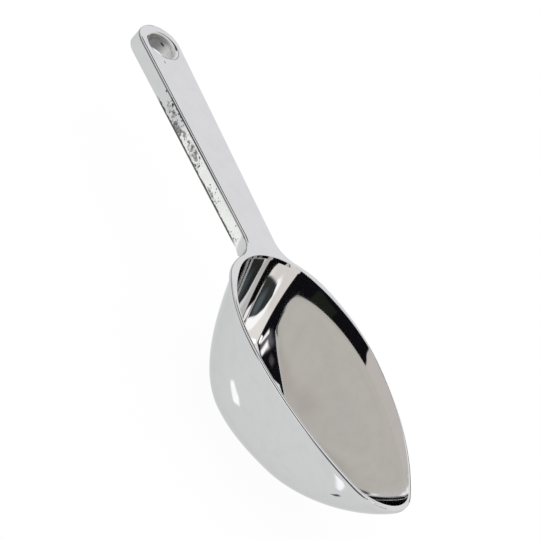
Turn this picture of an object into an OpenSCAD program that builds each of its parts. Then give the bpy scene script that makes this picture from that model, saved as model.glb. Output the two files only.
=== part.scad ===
// Serving scoop for sweets: a deep egg-shaped bowl, a tapered channel handle and a hanging eye.
// +X points to the tip of the bowl, +Z up, origin under the middle of the length, on the level of the belly.

/* [Overall] */
// Length over all, from the end of the handle to the tip of the bowl
overall_length = 165; // [150:1:185]

/* [Bowl] */
// Length of the bowl over its lip
bowl_length = 86.3; // [78:0.1:96]
// Width of the bowl over its lip, at the widest section
bowl_width = 44.4; // [40:0.1:50]
// Depth of the bowl over all, from the top of the lip to the belly
bowl_depth = 29.5; // [24:0.1:34]
// Distance of the widest section from the back of the bowl
belly_from_back = 32.5; // [29:0.1:36]
// Distance of the deepest point from the back of the bowl
deepest_from_back = 37.2; // [33:0.1:41]
// Plan radius of the lip's outer edge at the back of the bowl
back_radius = 18.8; // [17:0.1:20]
// Plan radius of the opening at the back of the bowl
opening_back_radius = 15.6; // [14:0.1:17]
// Plan radius of the lip's outer edge at the tip of the bowl
tip_radius = 11.2; // [9.5:0.1:13]
// Wall thickness of the bowl and its lip
bowl_wall = 1.3; // [1:0.1:2]
// Height of the upright lip round the opening
lip_height = 1.4; // [1:0.1:2]
// Height of the upright edge at the top of the opening, above the slope of the dish
brim_height = 0.36; // [0.3:0.02:0.8]
// Fullness of the slope up to the tip, where 1 is a straight slope, 2 a round one and 4 a steep wall on a flat floor
front_fullness = 1.84; // [1.4:0.02:2.4]
// Fullness of the back wall of the bowl
back_fullness = 3.48; // [2.8:0.02:4.4]
// Fullness of the sides of the bowl
side_fullness = 3.92; // [3:0.02:4.6]
// Steepness of the back just under the lip, where less than 1 flares and more than 1 is upright
back_steepness = 1.07; // [1:0.01:1.3]
// Steepness of the tip just under the lip
tip_steepness = 1.11; // [1:0.01:1.3]
// Steepness of the sides just under the lip
side_steepness = 0.61; // [0.5:0.01:1]

/* [Handle] */
// Width of the handle at its round end
end_width = 13.1; // [12:0.1:15]
// Width of the handle where its sides would reach the back of the bowl
neck_width = 10.2; // [9:0.1:12]
// Depth of the handle over all
handle_depth = 4.6; // [3.8:0.1:6]
// Thickness of the top plate of the handle and neck
deck_thickness = 1.4; // [1:0.1:2]
// Thickness of the side walls of the handle
side_wall = 1.3; // [1:0.1:1.8]
// Plan radius of the concave fillets between the handle and the bowl
neck_fillet = 8; // [6:0.1:10]
// Length over which the lower edge of the neck walls rises to the bowl
run_out_length = 4; // [3:0.1:5]
// Angle by which the handle falls away from the level of the lip
handle_droop = 1; // [0:0.1:3]

/* [Hanging eye] */
// Distance of the hanging hole's centre from the end of the handle
bore_from_end = 7.4; // [7:0.1:8.5]
// Diameter of the hanging hole
eye_bore = 7.4; // [6:0.1:8.4]
// Radius of the rounded upper mouth of the hanging hole
eye_flare = 1.4; // [0.6:0.1:1.8]
// Chamfer at the lower mouth of the hanging hole
eye_chamfer = 0.5; // [0.3:0.1:0.9]
// Wall between the hanging hole and the hollow of the handle
eye_wall = 1.8; // [1.6:0.1:2.4]

/* [Hidden] */
// Steps in each arc of a plan outline
arc_steps = 10;
// Rings between the lip and the belly
ring_count = 16;
// Steps of the dish's slope inside the lip
brim_rings = 3;
// Power that draws the rings together under the lip
ring_crowding = 1.25;
// Reach of a cutting shape past the face that it cuts
past = 0.5;
silver = [0.78, 0.79, 0.80];

// Levels of the top plane, of the undersides of the deck and the lip, of the dish's upper edge and of the handle's lower edge
top_z = bowl_depth;
deck_z = top_z - deck_thickness;
lip_z = top_z - lip_height;
brim_z = top_z - brim_height;
wall_z = top_z - handle_depth;

// Stations along the length
tip_x = overall_length / 2;
back_x = tip_x - bowl_length;
belly_x = back_x + belly_from_back;
deepest_x = back_x + deepest_from_back;
eye_r = end_width / 2;
eye_x = eye_r - overall_length / 2;
bore_x = bore_from_end - overall_length / 2;
eye_end_x = bore_x + eye_bore / 2 + 2 * eye_wall;

// The handle's side line touches the round end and tapers to the neck: its angle, normal and direction
eye_to_neck = [back_x - eye_x, neck_width / 2];
taper = asin(eye_r / norm(eye_to_neck)) - atan2(eye_to_neck.y, eye_to_neck.x);
side_normal = [sin(taper), cos(taper)];
side_run = [cos(taper), -sin(taper)];

// The neck fillet touches the side line and the back arc of the lip from outside
back_centre = [back_x + back_radius, 0];
fillet_from_back = [eye_x, 0] + (eye_r + neck_fillet) * side_normal - back_centre;
fillet_reach = fillet_from_back * side_run;
fillet_slide = -fillet_reach - sqrt(
    pow(fillet_reach, 2) - fillet_from_back * fillet_from_back + pow(back_radius + neck_fillet, 2));
fillet_centre = back_centre + fillet_from_back + fillet_slide * side_run;
to_fillet = fillet_centre - back_centre;
fillet_angle = atan2(to_fillet.y, to_fillet.x);
neck_x = fillet_centre.x - neck_fillet * side_normal.x;
run_out_x = back_centre.x + back_radius * cos(fillet_angle);

// Points of an arc about c, from angle a to angle b
function arc(c, r, a, b, steps = arc_steps) =
    [for (i = [0 : steps]) let (t = a + (b - a) * i / steps) c + r * [cos(t), sin(t)]];

// A point list without its first point, reversed, or mirrored in the middle plane
function rest(points) = [for (i = [1 : len(points) - 1]) points[i]];
function backward(points) = [for (i = [len(points) - 1 : -1 : 0]) points[i]];
function mirrored(points) = [for (p = points) [p.x, -p.y]];

// Radius of the long side arc that is level at the widest section and touches an end arc inside
function side_radius(end_x, end_r, half) =
    (pow(belly_x - end_x, 2) + half * half - end_r * end_r) / (2 * (half - end_r));

// One side of an egg outline, from the back to the tip, inset from the lip's outer edge, with its own back radius
function egg_side(inset, rb) =
    let (
        half = bowl_width / 2 - inset,
        rt = tip_radius - inset,
        back_end = [back_x + inset + rb, 0],
        tip_centre = [tip_x - tip_radius, 0],
        back_big = side_radius(back_end.x, rb, half),
        tip_big = side_radius(tip_centre.x, rt, half),
        back_turn = atan2(back_big - half, back_end.x - belly_x),
        tip_turn = atan2(tip_big - half, tip_centre.x - belly_x)
    )
    concat(
        arc(back_end, rb, 180, fillet_angle),
        rest(arc(back_end, rb, fillet_angle, back_turn)),
        rest(arc([belly_x, half - back_big], back_big, back_turn, 90)),
        rest(arc([belly_x, half - tip_big], tip_big, 90, tip_turn)),
        rest(arc(tip_centre, rt, tip_turn, 0))
    );

// The whole outline, counter-clockwise from the tip
function egg(inset, rb) =
    let (side = egg_side(inset, rb), inner = rest(backward(rest(backward(side)))))
    concat(backward(side), mirrored(inner));

// The lip's outer edge, which flares into the neck, the bowl's outside under it and the opening
function lip_edge() = egg(0, back_radius);
function body_edge() = egg(0, opening_back_radius + bowl_wall);
function opening() = egg(bowl_wall, opening_back_radius);

// How much of its reach a wall of the dish keeps at a share of the depth
function reach(share, steepness, fullness) = pow(1 - pow(share, steepness), 1 / fullness);

// One ring of the dish: the outline drawn in at the tip, at the sides and at the back for a share of the depth
function ring(outline, inset, upper, share) =
    let (
        depth = upper - inset,
        front = tip_x - inset,
        back = back_x + inset,
        to_front = deepest_x + (front - deepest_x) * reach(share, tip_steepness, front_fullness),
        to_back = deepest_x - (deepest_x - back) * reach(share, back_steepness, back_fullness),
        wide = reach(share, side_steepness, side_fullness),
        long = (to_front - to_back) / (front - back)
    )
    [for (p = outline) [to_back + (p.x - back) * long, p.y * wide, upper - depth * share]];

// Share of the inner depth at which the dish passes from the lip to the shell
lip_share = (brim_z - lip_z) / (brim_z - bowl_wall);

// Share of the depth at a ring, closer together under the lip and towards the deepest point
function ring_share(i) = sin(90 * pow(i / ring_count, ring_crowding));

// The rings of a dish above its lowest point, from a share of its depth down
function dish_rings(outline, inset, upper, from = 0, count = ring_count) =
    [for (i = [0 : count - 1]) each ring(outline, inset, upper, from + (1 - from) * ring_share(i))];

// Faces between neighbouring rings of n points, from the point numbered first
function sleeve(first, rings, n) =
    [for (k = [0 : rings - 2], i = [0 : n - 1])
        let (a = first + k * n, j = (i + 1) % n)
        each [[a + i, a + j, a + n + j], [a + i, a + n + j, a + n + i]]];

// Faces from the ring numbered from first to the lowest point of a dish
function fan(first, n, pole) = [for (i = [0 : n - 1]) [first + i, first + (i + 1) % n, pole]];

// The skin of a dish of n points a ring, with its lowest point numbered pole
function dish_skin(first, n, pole) =
    concat(sleeve(first, ring_count, n), fan(first + (ring_count - 1) * n, n, pole));

// The thin dish under the lip, its inner skin a wall's thickness inside the outer one
module bowl_shell() {
    outer = dish_rings(body_edge(), 0, lip_z);
    inner = dish_rings(opening(), bowl_wall, brim_z, lip_share);
    n = len(opening());
    size = n * ring_count;
    points = concat(outer, inner, [[deepest_x, 0, 0], [deepest_x, 0, bowl_wall]]);
    edge = [for (i = [0 : n - 1]) let (j = (i + 1) % n)
        each [[i, size + i, size + j], [i, size + j, j]]];
    outside = dish_skin(0, n, 2 * size);
    inside = [for (f = dish_skin(size, n, 2 * size + 1)) backward(f)];
    color(silver)
        polyhedron(points, concat(outside, inside, edge), convexity = 6);
}

// The upright lip round the opening, with the top of the dish's slope inside it
module bowl_rim() {
    outer = lip_edge();
    inner = opening();
    n = len(inner);
    wall = [for (z = [lip_z, top_z], p = outer) [p.x, p.y, z]];
    edge = [for (p = inner) [p.x, p.y, top_z]];
    slope = [for (i = [0 : brim_rings]) each ring(inner, bowl_wall, brim_z, lip_share * i / brim_rings)];
    points = concat(wall, edge, slope);
    last = len(points) - n;
    under = [for (i = [0 : n - 1]) let (j = (i + 1) % n)
        each [[last + i, last + j, j], [last + i, j, i]]];
    color(silver)
        polyhedron(points, [for (f = concat(sleeve(0, brim_rings + 4, n), under)) backward(f)], convexity = 6);
}

// The outside of the bowl from its lip to just below the handle, filled, to seat the neck walls on
module bowl_seat() {
    edge = body_edge();
    n = len(edge);
    below = min(1, max(0, lip_z - wall_z + past) / lip_z);
    rings = 2 + ceil(ring_count * pow(asin(below) / 90, 1 / ring_crowding));
    upper = [for (p = edge) [p.x, p.y, top_z]];
    points = concat(upper, dish_rings(edge, 0, lip_z, 0, rings));
    lids = [[for (i = [n - 1 : -1 : 0]) i], [for (i = [0 : n - 1]) n * rings + i]];
    polyhedron(points, concat(sleeve(0, rings + 1, n), lids), convexity = 4);
    translate([0, 0, lip_z])
        linear_extrude(lip_height)
            polygon(lip_edge());
}

// A point of the handle's side line in plan, inset by a wall, at a station
function side_point(inset, x) =
    let (start = [eye_x, 0] + (eye_r - inset) * side_normal)
    start + (x - start.x) / side_run.x * side_run;

// One neck fillet in plan, inset by a wall, from the handle to the bowl
function fillet_arc(inset) = arc(fillet_centre, neck_fillet + inset, -90 - taper, fillet_angle - 180);

// The space between two stations, for cutting pieces to length
module between(from_x, to_x) {
    translate([from_x, -bowl_width, -bowl_depth])
        cube([to_x - from_x, 2 * bowl_width, 3 * bowl_depth]);
}

// Turns a piece of the handle down about the line where the handle leaves the neck
module drooped() {
    translate([neck_x, 0, top_z])
        rotate([0, -handle_droop, 0])
            translate([-neck_x, 0, -top_z])
                children();
}

// The flat plate between the handle and the lip
module neck_shoulder() {
    side = fillet_arc(0);
    land = arc(back_centre, back_radius, fillet_angle, 360 - fillet_angle, 2 * arc_steps);
    color(silver)
        translate([0, 0, deck_z])
            linear_extrude(deck_thickness)
                polygon(concat(side, rest(land), rest(backward(mirrored(side)))));
}

// A wall under the neck fillet, seated on the bowl, its lower edge rising to meet the bowl's lip
module neck_wall() {
    outer = fillet_arc(0);
    inner = concat([side_point(side_wall, neck_x)], rest(fillet_arc(side_wall)));
    difference() {
        translate([0, 0, wall_z])
            linear_extrude(deck_z - wall_z)
                polygon(concat(outer, backward(inner)));
        bowl_seat();
        rotate([90, 0, 0])
            linear_extrude(bowl_width, center = true)
                polygon([
                    [run_out_x - run_out_length, wall_z],
                    [run_out_x, deck_z],
                    [tip_x, deck_z],
                    [tip_x, wall_z - past],
                    [run_out_x - run_out_length, wall_z - past],
                ]);
    }
}

module neck_left_wall() {
    color(silver) neck_wall();
}

module neck_right_wall() {
    color(silver) mirror([0, 1, 0]) neck_wall();
}

// The flat top plate of the handle, from the eye to the neck
module handle_deck() {
    edge = [for (x = [eye_end_x - past, neck_x + past]) side_point(0, x)];
    color(silver)
        intersection() {
            drooped()
                translate([0, 0, deck_z])
                    linear_extrude(deck_thickness)
                        polygon(concat(edge, backward(mirrored(edge))));
            between(eye_end_x, neck_x);
        }
}

// A side wall under the deck, from the eye to the neck
module handle_wall() {
    stations = [eye_end_x - past, neck_x + past];
    outer = [for (x = stations) side_point(0, x)];
    inner = [for (x = stations) side_point(side_wall, x)];
    intersection() {
        drooped()
            translate([0, 0, wall_z])
                linear_extrude(deck_z - wall_z)
                    polygon(concat(outer, backward(inner)));
        between(eye_end_x, neck_x);
    }
}

module handle_left_wall() {
    color(silver) handle_wall();
}

module handle_right_wall() {
    color(silver) mirror([0, 1, 0]) handle_wall();
}

// The hollow of the handle behind the hanging hole, rounded off by the hole's own wall
module eye_hollow() {
    mouth = [for (x = [bore_x, eye_end_x + 2 * past]) side_point(side_wall, x)];
    difference() {
        translate([0, 0, wall_z - past])
            linear_extrude(deck_z - wall_z + past)
                polygon(concat(mouth, backward(mirrored(mouth))));
        translate([bore_x, 0, wall_z - 2 * past])
            cylinder(h = handle_depth + 2 * past, r = eye_bore / 2 + eye_wall, $fn = 96);
    }
}

// The hanging hole: a true bore with a rounded upper mouth and a chamfered lower one
module eye_hole() {
    r = eye_bore / 2;
    flare = arc([r + eye_flare, top_z - eye_flare], eye_flare, 180, 90);
    low = [[r + eye_chamfer + past, wall_z - past], [r, wall_z + eye_chamfer]];
    axis = [[r + eye_flare, top_z + past], [0, top_z + past], [0, wall_z - past]];
    translate([bore_x, 0, 0])
        rotate_extrude($fn = 96)
            polygon(concat(low, flare, axis));
}

// The round end of the handle, full depth round the hole and hollow behind it
module hang_eye() {
    side = side_point(0, eye_end_x + past);
    round_end = arc([eye_x, 0], eye_r, 90 - taper, 270 + taper, 3 * arc_steps);
    color(silver)
        intersection() {
            drooped()
                difference() {
                    translate([0, 0, wall_z])
                        linear_extrude(handle_depth)
                            polygon(concat([side], round_end, mirrored([side])));
                    eye_hollow();
                    eye_hole();
                }
            between(-overall_length, eye_end_x);
        }
}

bowl_shell();
bowl_rim();
neck_shoulder();
neck_left_wall();
neck_right_wall();
handle_deck();
handle_left_wall();
handle_right_wall();
hang_eye();
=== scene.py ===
"""Looks of a candy scoop: a small serving scoop in mirror-silver metallised plastic."""

import logging
import math
from dataclasses import dataclass
from enum import Enum
from functools import reduce
from operator import mul
from typing import Callable, Optional, Union

import bmesh
import bpy
from mathutils import Matrix, Vector


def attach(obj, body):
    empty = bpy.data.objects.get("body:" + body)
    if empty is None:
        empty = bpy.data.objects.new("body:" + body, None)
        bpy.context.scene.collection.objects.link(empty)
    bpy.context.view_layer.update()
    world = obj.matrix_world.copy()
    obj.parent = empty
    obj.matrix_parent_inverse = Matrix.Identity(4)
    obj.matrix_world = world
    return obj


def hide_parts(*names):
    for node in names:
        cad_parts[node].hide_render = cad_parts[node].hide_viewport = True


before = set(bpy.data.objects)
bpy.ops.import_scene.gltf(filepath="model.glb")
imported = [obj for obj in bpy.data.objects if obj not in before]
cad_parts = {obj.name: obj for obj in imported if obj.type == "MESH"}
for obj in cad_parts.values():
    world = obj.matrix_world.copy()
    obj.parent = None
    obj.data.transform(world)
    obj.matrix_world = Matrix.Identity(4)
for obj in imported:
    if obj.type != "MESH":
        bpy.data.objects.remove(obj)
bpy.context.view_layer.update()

LOG = logging.getLogger("candy_scoop")

# Points closer than WELD are merged, and SLACK is the tolerance of tests and cuts
WELD = 1e-7
SLACK = 1e-6
SHARP = math.radians(40)
SEED_SIZE = 0.001
X_AXIS = Vector((1, 0, 0))
Y_AXIS = Vector((0, 1, 0))
Z_AXIS = Vector((0, 0, 1))

Test = Callable[[object], bool]
Triple = tuple[float, float, float]


class Pick(Enum):
    """What a selection in edit mode is made of."""

    VERTS = "VERT"
    EDGES = "EDGE"
    FACES = "FACE"


@dataclass(frozen=True)
class Arc:
    """One arc of a plan outline.

    Args:
        centre: Plan point that the arc turns about.
        turn: Angle of the arc in radians, counter-clockwise where positive.
        steps: Number of edges along the arc.
    """

    centre: Vector
    turn: float
    steps: int


@dataclass(frozen=True)
class ScoopPlan:
    """Sizes that the parts of the scoop share, in metres, and the stations that follow from them."""

    overall_length: float = 0.165
    bowl_length: float = 0.0863
    bowl_width: float = 0.0444
    bowl_depth: float = 0.0295
    belly_from_back: float = 0.0325
    back_radius: float = 0.0188
    opening_back_radius: float = 0.0156
    tip_radius: float = 0.0112
    opening_tip_radius: float = 0.0108
    bowl_wall: float = 0.0013
    lip_height: float = 0.0014
    brim_height: float = 0.00036
    lip_width: float = 0.0008
    tip_lip_width: float = 0.0013
    lip_seam: float = 0.00017
    end_width: float = 0.0131
    neck_width: float = 0.0102
    handle_depth: float = 0.0046
    side_wall: float = 0.0013
    neck_fillet: float = 0.008
    handle_droop: float = math.radians(1)
    edge_round: float = 0.0006
    edge_steps: int = 8

    @property
    def top_z(self) -> float:
        """Level of the top of the lip and the neck."""
        return self.bowl_depth

    @property
    def lip_z(self) -> float:
        """Level of the underside of the lip and the top plate."""
        return self.top_z - self.lip_height

    @property
    def brim_z(self) -> float:
        """Level at which the slope of the dish would reach the opening."""
        return self.top_z - self.brim_height

    @property
    def wall_z(self) -> float:
        """Level of the lower edge of the handle's side walls."""
        return self.top_z - self.handle_depth

    @property
    def tip_x(self) -> float:
        """Station of the tip of the bowl."""
        return self.overall_length / 2

    @property
    def back_x(self) -> float:
        """Station of the back of the bowl."""
        return self.tip_x - self.bowl_length

    @property
    def belly_x(self) -> float:
        """Station of the widest section."""
        return self.back_x + self.belly_from_back

    @property
    def eye_r(self) -> float:
        """Plan radius of the round end of the handle."""
        return self.end_width / 2

    @property
    def eye_x(self) -> float:
        """Station of the centre of the round end."""
        return self.eye_r - self.overall_length / 2

    @property
    def taper(self) -> float:
        """Angle between the handle's side line and the middle plane."""
        along = self.back_x - self.eye_x
        half = self.neck_width / 2
        return math.asin(self.eye_r / math.hypot(along, half)) - math.atan2(half, along)

    @property
    def back_centre(self) -> Vector:
        """Plan centre of the lip's back arc."""
        return Vector((self.back_x + self.back_radius, 0, 0))

    @property
    def fillet_centre(self) -> Vector:
        """Plan centre of the left neck fillet, which touches the side line and the back arc."""
        normal = Vector((math.sin(self.taper), math.cos(self.taper), 0))
        run = Vector((math.cos(self.taper), -math.sin(self.taper), 0))
        start = Vector((self.eye_x, 0, 0)) + (self.eye_r + self.neck_fillet) * normal
        apart = start - self.back_centre
        along = apart.dot(run)
        reach = self.back_radius + self.neck_fillet
        slide = -along - math.sqrt(along ** 2 - apart.length_squared + reach ** 2)
        return start + slide * run

    @property
    def fillet_angle(self) -> float:
        """Direction from the back arc's centre to the left neck fillet."""
        towards = self.fillet_centre - self.back_centre
        return math.atan2(towards.y, towards.x)

    @property
    def fillet_turn(self) -> float:
        """Turn of the left neck fillet from the bowl to the handle, which is clockwise."""
        return math.radians(90) - self.taper - self.fillet_angle

    @property
    def neck_x(self) -> float:
        """Station where the handle's sides run into the neck fillets."""
        return self.fillet_centre.x - self.neck_fillet * math.sin(self.taper)

    @property
    def run_out_x(self) -> float:
        """Station where the neck fillets run out on the bowl."""
        return self.back_x + self.back_radius * (1 + math.cos(self.fillet_angle))

    def side_y(self, x: float, inset: float = 0.0) -> float:
        """Half width of the handle at a station, inset by a wall.

        Args:
            x: Station along the length.
            inset: Distance inside the handle's side face.

        Returns:
            Distance of the side face from the middle plane.
        """
        start_x = self.eye_x + (self.eye_r - inset) * math.sin(self.taper)
        start_y = (self.eye_r - inset) * math.cos(self.taper)
        return start_y - (x - start_x) * math.tan(self.taper)


@dataclass(frozen=True)
class EggOutline:
    """An egg-shaped plan outline of tangent arcs, inset from the lip's outer edge.

    Args:
        plan: Shared sizes of the scoop.
        inset: Distance inside the lip's outer edge along the sides.
        front_inset: Distance of its tip from the tip of the bowl.
        back_inset: Distance of its back from the back of the bowl.
        back_r: Plan radius of the outline at the back.
        tip_r: Plan radius of the outline at the tip.
        steps: Edges along the tip arc, each long side arc and the back arc of one side.
    """

    plan: ScoopPlan
    inset: float
    front_inset: float
    back_inset: float
    back_r: float
    tip_r: float
    steps: tuple[int, int, int] = (22, 30, 28)

    @property
    def front(self) -> float:
        """Station of the outline's tip."""
        return self.plan.tip_x - self.front_inset

    @property
    def back(self) -> float:
        """Station of the outline's back."""
        return self.plan.back_x + self.back_inset

    @property
    def half(self) -> float:
        """Half width of the widest section."""
        return self.plan.bowl_width / 2 - self.inset

    def flank(self, end_x: float, end_r: float) -> tuple[float, float]:
        """The long arc between the widest section and an end arc.

        Args:
            end_x: Station of the end arc's centre.
            end_r: Radius of the end arc.

        Returns:
            The radius of the long arc, and the direction in which it meets the end arc.
        """
        run = end_x - self.plan.belly_x
        radius = (run ** 2 + self.half ** 2 - end_r ** 2) / (2 * (self.half - end_r))
        return radius, math.atan2(radius - self.half, run)

    def left_arcs(self, back_end: float = math.pi) -> list[Arc]:
        """The arcs of the left side, from the tip to the back.

        Args:
            back_end: Direction at which the back arc stops, seen from its centre.

        Returns:
            The arcs in the order in which they are drawn.
        """
        belly = self.plan.belly_x
        tip = Vector((self.front - self.tip_r, 0, 0))
        back = Vector((self.back + self.back_r, 0, 0))
        tip_big, tip_turn = self.flank(tip.x, self.tip_r)
        back_big, back_turn = self.flank(back.x, self.back_r)
        tip_steps, side_steps, back_steps = self.steps
        return [
            Arc(tip, tip_turn, tip_steps),
            Arc(Vector((belly, self.half - tip_big, 0)), math.pi / 2 - tip_turn, side_steps),
            Arc(Vector((belly, self.half - back_big, 0)), back_turn - math.pi / 2, side_steps // 2),
            Arc(back, back_end - back_turn, back_steps),
        ]

    def whole(self) -> list[Arc]:
        """All arcs of the outline, counter-clockwise from the tip."""
        left = self.left_arcs()
        return left + [Arc(Vector((a.centre.x, -a.centre.y, 0)), a.turn, a.steps) for a in reversed(left)]


def lip_outline(plan: ScoopPlan) -> EggOutline:
    """The outer edge of the lip."""
    return EggOutline(plan, 0, 0, 0, plan.back_radius, plan.tip_radius)


def opening_outline(plan: ScoopPlan, outside: float = 0.0) -> EggOutline:
    """The opening of the bowl on the top of the lip, or a line round it.

    Args:
        plan: Shared sizes of the scoop.
        outside: Distance of the line from the opening.

    Returns:
        The outline.
    """
    return EggOutline(
        plan,
        plan.lip_width - outside,
        plan.tip_lip_width - outside,
        plan.bowl_wall - outside,
        plan.opening_back_radius + outside,
        plan.opening_tip_radius + outside,
    )


def lies_at(axis: Vector, value: float) -> Test:
    """A test for edges with both ends at one place along an axis."""
    return lambda edge: all(abs(v.co.dot(axis) - value) < SLACK for v in edge.verts)


class Bench:
    """One new mesh on the bench, shaped in edit mode by Blender's operators."""

    def __init__(self, name: str) -> None:
        """Starts an empty piece.

        Args:
            name: Name of the finished piece.
        """
        if bpy.context.object and bpy.context.object.mode != "OBJECT":
            bpy.ops.object.mode_set(mode="OBJECT")
        bpy.ops.object.select_all(action="DESELECT")
        bpy.ops.mesh.primitive_plane_add(size=SEED_SIZE)
        self.piece = bpy.context.object
        self.piece.name = name
        self.piece.data.name = name
        bpy.ops.object.mode_set(mode="EDIT")
        self.everything()
        bpy.ops.mesh.delete(type="VERT")

    def everything(self) -> None:
        """Selects the whole mesh."""
        bpy.ops.mesh.select_all(action="SELECT")

    def point(self, x: float, y: float, z: float) -> None:
        """Puts one selected point on the bench, for the operators that draw from it."""
        bpy.ops.mesh.select_mode(type="VERT")
        bpy.ops.mesh.select_all(action="DESELECT")
        bpy.ops.mesh.primitive_plane_add(size=SEED_SIZE, location=(x, y, z))
        bpy.ops.mesh.merge(type="CENTER")

    def line(self, x: float, y: float, z: float = 0.0) -> None:
        """Draws a straight edge from the selected point by a distance."""
        bpy.ops.mesh.extrude_vertices_move(TRANSFORM_OT_translate={"value": (x, y, z)})

    def arc(self, arc: Arc) -> None:
        """Draws an arc in plan from what is selected."""
        bpy.ops.mesh.spin(steps=arc.steps, angle=-arc.turn, center=arc.centre, axis=Z_AXIS)

    def outline(self, outline: EggOutline, z: float) -> None:
        """Draws a whole egg outline on a level and leaves it selected.

        Args:
            outline: The outline.
            z: The level.
        """
        self.point(outline.front, 0, z)
        for arc in outline.whole():
            self.arc(arc)
        self.pick(Pick.EDGES, lambda e: lies_at(Z_AXIS, z)(e) and not e.link_faces)
        bpy.ops.mesh.remove_doubles(threshold=WELD)

    def sweep(self, shift: Triple, scale: Optional[Triple] = None, about: Triple = (0, 0, 0)) -> None:
        """Extrudes the selected edges by a distance and resizes their far ends.

        Args:
            shift: The distance.
            scale: New size of the far ends as shares of the old one, if it changes.
            about: Point that they are resized about.
        """
        bpy.ops.mesh.extrude_edges_move(TRANSFORM_OT_translate={"value": shift})
        if scale:
            bpy.ops.transform.resize(value=scale, center_override=about)

    def push(self, height: float) -> None:
        """Extrudes the selected faces, with their sides, by a height."""
        bpy.ops.mesh.extrude_region_move(TRANSFORM_OT_translate={"value": (0, 0, height)})

    def slab(self, height: float) -> None:
        """Fills the outline that was drawn and gives the face a height, downwards where negative."""
        self.close()
        bpy.ops.mesh.edge_face_add()
        self.push(height)
        self.close()

    def pick(self, kind: Pick, test: Test) -> None:
        """Selects the parts of the mesh that pass a test, and nothing else.

        Args:
            kind: Whether points, edges or faces are selected.
            test: Says of one point, edge or face whether it is wanted.
        """
        bpy.ops.mesh.select_mode(type=kind.value)
        bpy.ops.mesh.select_all(action="DESELECT")
        mesh = bmesh.from_edit_mesh(self.piece.data)
        mesh.normal_update()
        parts = {Pick.VERTS: mesh.verts, Pick.EDGES: mesh.edges, Pick.FACES: mesh.faces}[kind]
        for part in [part for part in parts if test(part)]:
            part.select_set(True)
        mesh.select_flush_mode()
        bmesh.update_edit_mesh(self.piece.data)

    def round_edges(self, test: Test, radius: float, segments: int) -> None:
        """Rounds the edges that pass a test over, with a number of faces across the rounding."""
        self.pick(Pick.EDGES, test)
        bpy.ops.mesh.bevel(offset=radius, offset_type="OFFSET", segments=segments, profile=0.5)

    def cut(self, point: Triple, normal: Vector, keep_front: bool) -> None:
        """Cuts the mesh along a plane and closes the cut.

        Args:
            point: A point of the plane.
            normal: Its normal.
            keep_front: Whether the side that the normal points to is the one that is kept.
        """
        self.everything()
        bpy.ops.mesh.bisect(
            plane_co=point,
            plane_no=normal,
            threshold=SLACK,
            use_fill=True,
            clear_inner=keep_front,
            clear_outer=not keep_front,
        )

    def close(self) -> None:
        """Merges doubles and turns the faces outwards."""
        bpy.ops.mesh.select_mode(type="VERT")
        self.everything()
        bpy.ops.mesh.remove_doubles(threshold=WELD)
        bpy.ops.mesh.normals_make_consistent(inside=False)

    def modify(self, kind: str, **settings: object) -> None:
        """Adds a modifier to the piece and applies it.

        Args:
            kind: Blender's name for the modifier's type.
            settings: Values of the modifier's properties.
        """
        bpy.ops.object.mode_set(mode="OBJECT")
        modifier = self.piece.modifiers.new(kind.title(), kind)
        for key, value in settings.items():
            setattr(modifier, key, value)
        bpy.context.view_layer.objects.active = self.piece
        bpy.ops.object.modifier_apply(modifier=modifier.name)
        bpy.ops.object.mode_set(mode="EDIT")

    def lift(self) -> bpy.types.Object:
        """Takes the piece off the bench, smooth but for its sharp edges.

        Returns:
            The finished piece.
        """
        bpy.ops.object.mode_set(mode="OBJECT")
        bpy.ops.object.select_all(action="DESELECT")
        self.piece.select_set(True)
        bpy.context.view_layer.objects.active = self.piece
        bpy.ops.object.transform_apply(location=True, rotation=True, scale=True)
        bpy.ops.object.shade_smooth_by_angle(angle=SHARP)
        return self.piece

    def lift_flat(self) -> bpy.types.Object:
        """Takes the piece off the bench with its flat faces kept flat beside the rounded edges.

        Returns:
            The finished piece.
        """
        self.lift()
        self.modify("WEIGHTED_NORMAL", mode="FACE_AREA", weight=100, keep_sharp=True)
        return self.lift()


@dataclass(frozen=True)
class SkinShape:
    """How one skin of the dish curves down from its upper edge.

    Args:
        front_fullness: Fullness of the slope up to the tip.
        back_fullness: Fullness of the back wall.
        side_fullness: Fullness of the sides.
        tip_steepness: Steepness of the tip just under the lip.
        back_steepness: Steepness of the back just under the lip.
        side_steepness: Steepness of the sides just under the lip.
    """

    front_fullness: float
    back_fullness: float
    side_fullness: float
    tip_steepness: float
    back_steepness: float
    side_steepness: float

    def reach(self, share: float) -> Triple:
        """How far a ring reaches, as shares of the upper edge.

        Args:
            share: Share of the depth at which the ring lies.

        Returns:
            The reach to the tip, to the back and to the sides.
        """
        return (
            (1 - share ** self.tip_steepness) ** (1 / self.front_fullness),
            (1 - share ** self.back_steepness) ** (1 / self.back_fullness),
            (1 - share ** self.side_steepness) ** (1 / self.side_fullness),
        )


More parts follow.
